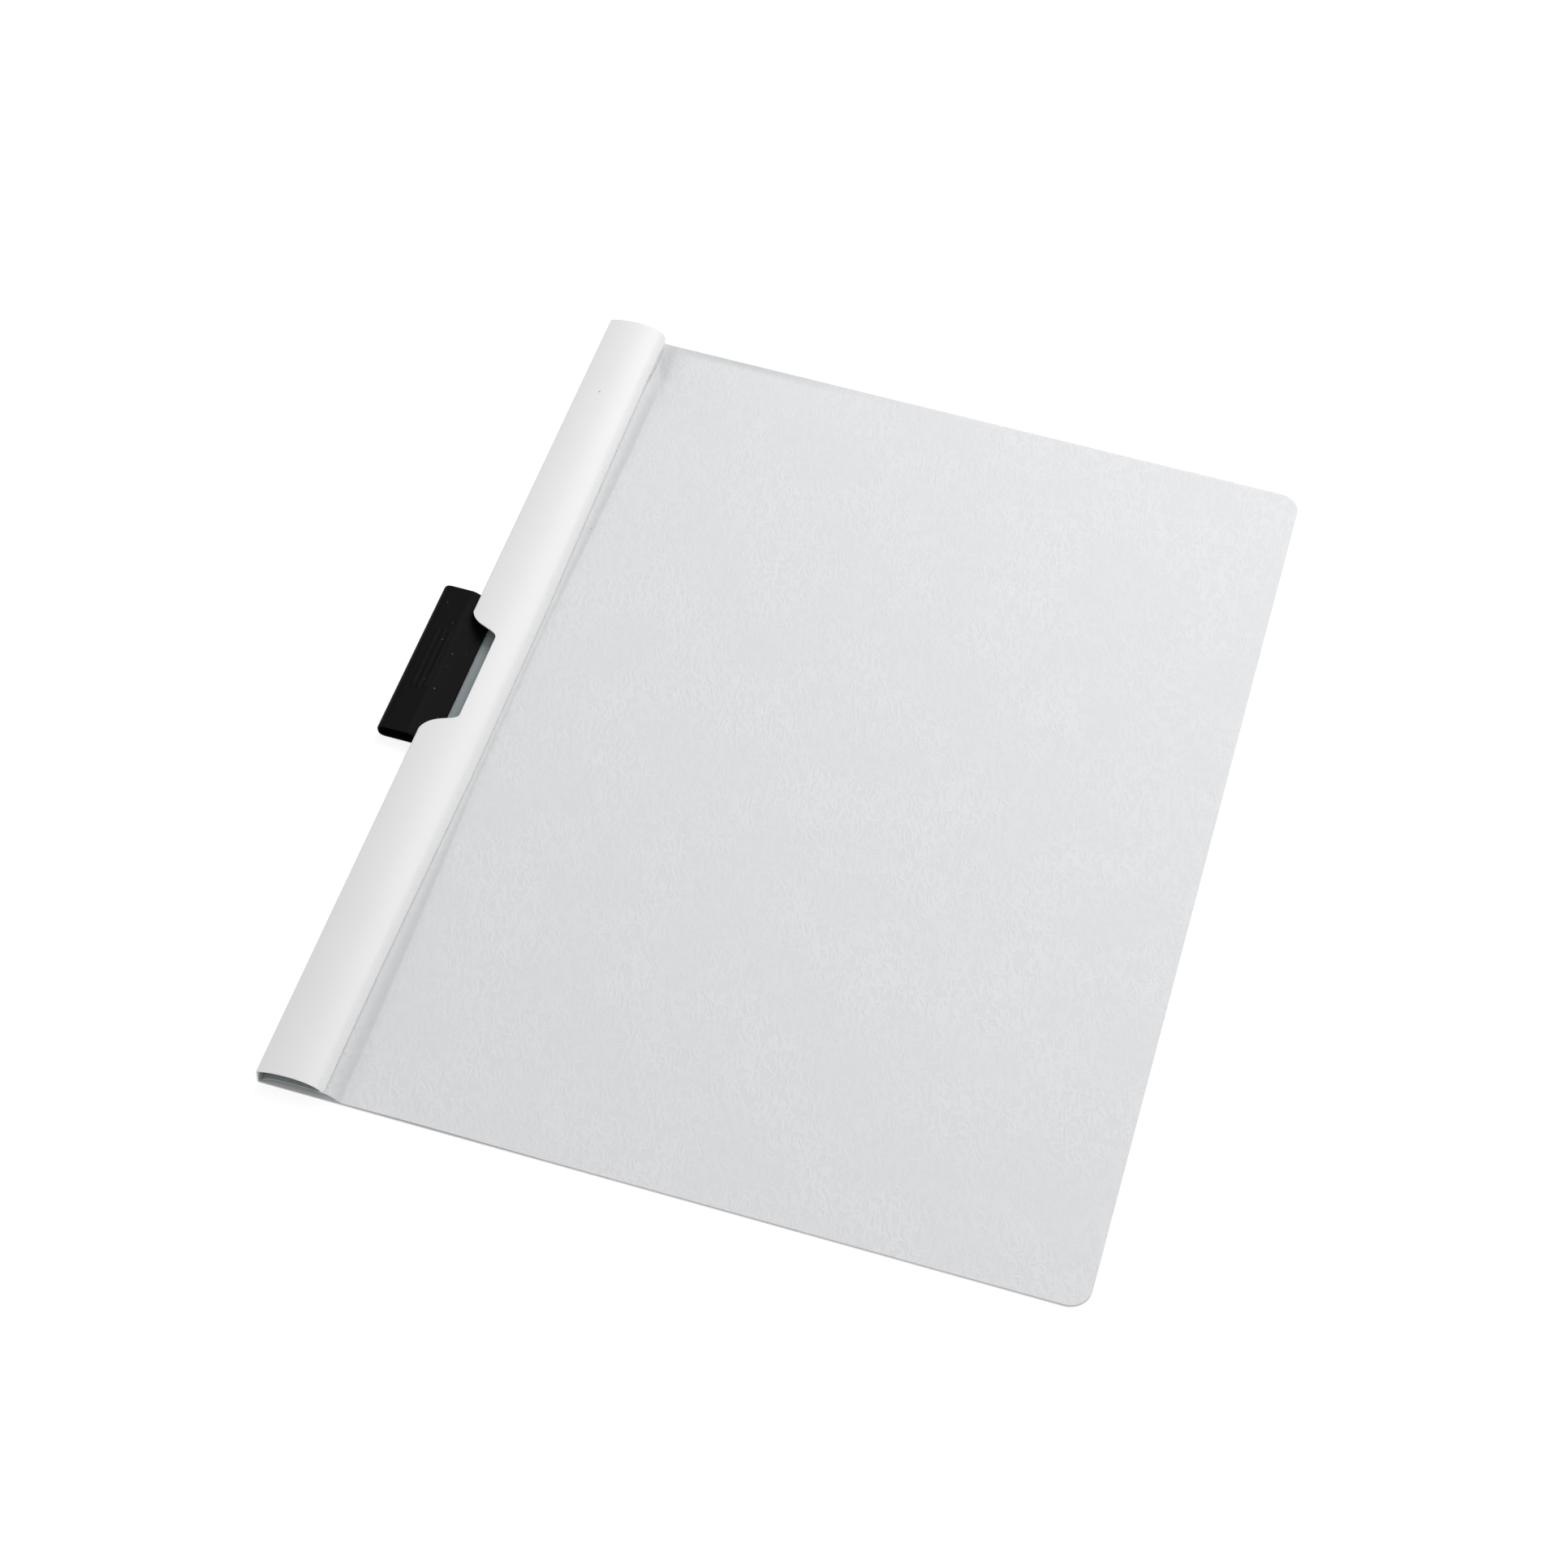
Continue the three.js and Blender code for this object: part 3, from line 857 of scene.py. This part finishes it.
class FOLDER_OT_spring_clip(bpy.types.Operator):
    """Build the pressed spring clip with its grip ribs"""

    bl_idname = "clip_folder.spring_clip"
    bl_label = "Spring clip"

    def section(self, s):
        """x and z of the steel's middle line: lower jaw, half circle, upper jaw, slope and lip.

        Even places along straight lines and the circle, each then the mean of itself and its
        neighbours up to four places away, which rounds the bends.
        """
        lip_length, neighbours = 0.8, 4
        steel, jaw = s.steel / MM, CLIP_LIP - CLIP_BACK
        height = CLIP_TOP - CLIP_UNDER
        radius, level = height / 2, height - steel / 2
        lip = steel + s.mouth / MM + steel / 2
        turn = np.linspace(-math.pi / 2, -1.5 * math.pi, 40)[1:-1]
        bow = radius - steel / 2
        corners = np.array([
            (jaw, steel / 2), (radius, steel / 2),
            *zip(radius + bow * np.cos(turn), radius + bow * np.sin(turn)),
            (radius, level), (jaw - s.taper / MM, level), (jaw - lip_length, lip), (jaw, lip),
        ])
        along = np.append(0, np.cumsum(np.hypot(*np.diff(corners, axis=0).T)))
        even = np.linspace(0, along[-1], 190)
        line = np.stack([np.interp(even, along, corners[:, i]) for i in (0, 1)], axis=1)
        eased = np.array(line)
        for shift in range(-neighbours, neighbours + 1):
            if shift:
                eased[neighbours:-neighbours] += line[
                    neighbours + shift : len(line) - neighbours + shift
                ]
        eased[neighbours:-neighbours] /= 2 * neighbours + 1
        return eased[None, :, 0], eased[None, :, 1]

    def execute(self, context):
        s = context.scene.folder_clip
        x, z = self.section(s)
        half, corner = (CLIP_HEAD - CLIP_FOOT) / 2, s.corner / MM
        v = np.concatenate([
            np.linspace(-1, -0.9, 8), np.linspace(-0.9, 0.9, 150)[1:-1], np.linspace(0.9, 1, 8),
        ])[:, None]
        reach_in = np.clip(corner - x, 0, corner)
        y = v * (half - (corner - np.sqrt(corner * corner - reach_in * reach_in)))

        # grip ribs on the upper jaw, parallel to the spine, with rounded ends
        rib_line, rib_width, outer_shorter = 6.4, 0.42, 0.9
        ribs = 0 * x * y
        for i in range(s.ribs):
            from_middle = i - (s.ribs - 1) / 2
            at = rib_line + from_middle * s.rib_pitch / MM
            half_rib = s.rib_length / MM / 2 - outer_shorter * abs(from_middle)
            past_rib = np.maximum(np.abs(y) - half_rib, 0)
            ribs = np.maximum(ribs, mound((x - at) ** 2 + past_rib**2, 0, rib_width**2))
        ribs = ribs * (z > (CLIP_TOP - CLIP_UNDER) / 2) * s.rib_height / MM
        made = grid_object(
            "spring_clip",
            x + CLIP_BACK + 0 * y,
            y + (CLIP_FOOT + CLIP_HEAD) / 2,
            z + ribs + CLIP_UNDER,
        )
        thicken(made, s.steel, bevel=0.09 * MM)
        dress(made, black_steel_material(s), "clip", "clip", slot="clip_black")
        return {"FINISHED"}


# ---- Stage


def place_camera(s):
    """Camera at the photograph's angle: turned by azimuth and elevation, then rolled."""
    azimuth, elevation, roll = (math.radians(a) for a in (AZIMUTH, ELEVATION, ROLL))
    target = Vector(to_frame(np.array(TARGET)))
    back = Vector((
        math.sin(azimuth) * math.cos(elevation),
        -math.cos(azimuth) * math.cos(elevation),
        math.sin(elevation),
    ))
    right = Vector((math.cos(azimuth), math.sin(azimuth), 0.0))
    up = back.cross(right)
    side = math.cos(roll) * right + math.sin(roll) * up
    above = -math.sin(roll) * right + math.cos(roll) * up
    lens = bpy.data.cameras.new("Camera")
    lens.lens, lens.sensor_width, lens.sensor_fit = s.focal, 36.0, "HORIZONTAL"
    lens.clip_end = 20.0
    camera = bpy.data.objects.new("Camera", lens)
    turned = Matrix((side, above, back)).transposed().to_4x4()
    camera.matrix_world = Matrix.Translation(target + back * s.distance) @ turned
    bpy.context.scene.collection.objects.link(camera)
    bpy.context.scene.camera = camera


def add_softbox(name, place, aim, size, power):
    """A square area light at place, turned towards aim."""
    data = bpy.data.lights.new(name, "AREA")
    data.size, data.energy = size, power
    lamp = bpy.data.objects.new(name, data)
    lamp.location = place
    lamp.rotation_euler = (Vector(aim) - Vector(place)).to_track_quat("-Z", "Y").to_euler()
    bpy.context.scene.collection.objects.link(lamp)


class FOLDER_OT_stage(bpy.types.Operator):
    """Set the pale floor, the soft studio light and the camera"""

    bl_idname = "clip_folder.stage"
    bl_label = "Stage"

    def execute(self, context):
        s = context.scene.folder_stage
        reach, under = 6.0, -0.05 * MM
        corners = [(-reach, -reach), (reach, -reach), (reach, reach), (-reach, reach)]
        mesh = bpy.data.meshes.new("floor")
        mesh.from_pydata([(*corner, under) for corner in corners], [], [(0, 1, 2, 3)])
        floor = bpy.data.objects.new("floor", mesh)
        context.scene.collection.objects.link(floor)
        made, tree, shader, _ = new_material("Pale floor")
        set_inputs(
            tree,
            shader,
            {
                "Base Color": (*s.floor, 1.0),
                "Roughness": 0.9,
                "Specular IOR Level": 0.1,
                "Emission Color": (1.0, 1.0, 1.0, 1.0),
                "Emission Strength": s.floor_glow,
            },
        )
        mesh.materials.append(made)

        world = bpy.data.worlds.new("Studio")
        world.use_nodes = True
        sky = next(n for n in world.node_tree.nodes if n.type == "BACKGROUND")
        sky.inputs["Color"].default_value = (1.0, 1.0, 1.0, 1.0)
        sky.inputs["Strength"].default_value = s.ambient
        context.scene.world = world
        for light in LIGHTS:
            add_softbox(*light)
        context.scene.view_settings.view_transform = "Standard"
        place_camera(s)
        return {"FINISHED"}


class FOLDER_PT_panel(bpy.types.Panel):
    """Lists what the clip folder is built from"""

    bl_label = "Clip Folder"
    bl_space_type = "VIEW_3D"
    bl_region_type = "UI"
    bl_category = "Clip Folder"

    def draw(self, context):
        layout, scene = self.layout, context.scene
        for operator in OPERATORS:
            layout.operator(operator.bl_idname)
        for group in (scene.folder_covers, scene.folder_clip, scene.folder_stage):
            box = layout.box()
            for name in group.__class__.__annotations__:
                box.prop(group, name)


OPERATORS = (FOLDER_OT_stage, FOLDER_OT_white_cover, FOLDER_OT_front_film, FOLDER_OT_spring_clip)
CLASSES = (FolderCoverSizes, FolderClipSizes, FolderStageSizes, *OPERATORS, FOLDER_PT_panel)


def register():
    for one in CLASSES:
        bpy.utils.register_class(one)
    bpy.types.Scene.folder_covers = PointerProperty(type=FolderCoverSizes)
    bpy.types.Scene.folder_clip = PointerProperty(type=FolderClipSizes)
    bpy.types.Scene.folder_stage = PointerProperty(type=FolderStageSizes)


def unregister():
    del bpy.types.Scene.folder_stage
    del bpy.types.Scene.folder_clip
    del bpy.types.Scene.folder_covers
    for one in reversed(CLASSES):
        bpy.utils.unregister_class(one)


def main():
    """Registers the classes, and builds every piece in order."""
    register()
    bpy.ops.clip_folder.stage()
    bpy.ops.clip_folder.white_cover()
    bpy.ops.clip_folder.front_film()
    bpy.ops.clip_folder.spring_clip()


if __name__ == "__main__":
    main()
